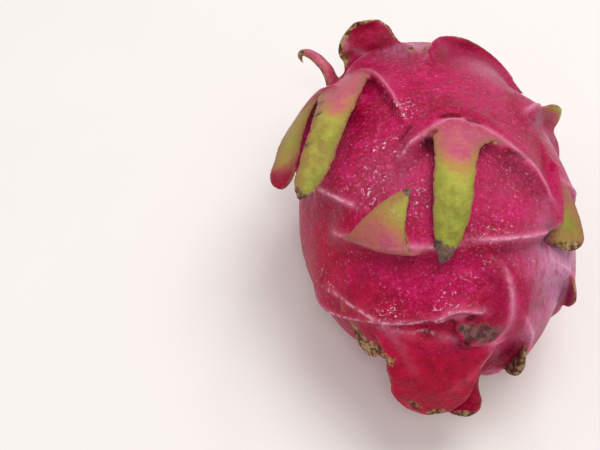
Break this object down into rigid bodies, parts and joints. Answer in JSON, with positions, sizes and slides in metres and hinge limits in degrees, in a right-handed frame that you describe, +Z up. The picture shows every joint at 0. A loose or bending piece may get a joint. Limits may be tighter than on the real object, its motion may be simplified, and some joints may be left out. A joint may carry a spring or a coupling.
{
  "type": "dragon fruit",
  "caption": "Whole red dragon fruit lying on its side: an egg-shaped rind with thick leaf-like scales, a cut stem stub and a dry flower scar.",
  "frame": {"origin": "middle of the small flat spot that the fruit rests on", "axes": "+Z up; the fruit's long axis lies along Y, stem end at +Y and flower end at -Y; +X to the right when looking from the flower end towards the stem end"},
  "size_m": [0.0984, 0.1313, 0.0879],
  "materials": {
    "fruit": null,
    "cut_stem": "dry woody stem stub, matt grey-brown",
    "flower_scar": "dry fibrous flower remnant, matt dark brown"
  },
  "bodies": {
    "root": {"fruit": "fruit", "cut_stem": "cut_stem", "flower_scar": "flower_scar"}
  },
  "joints": []
}
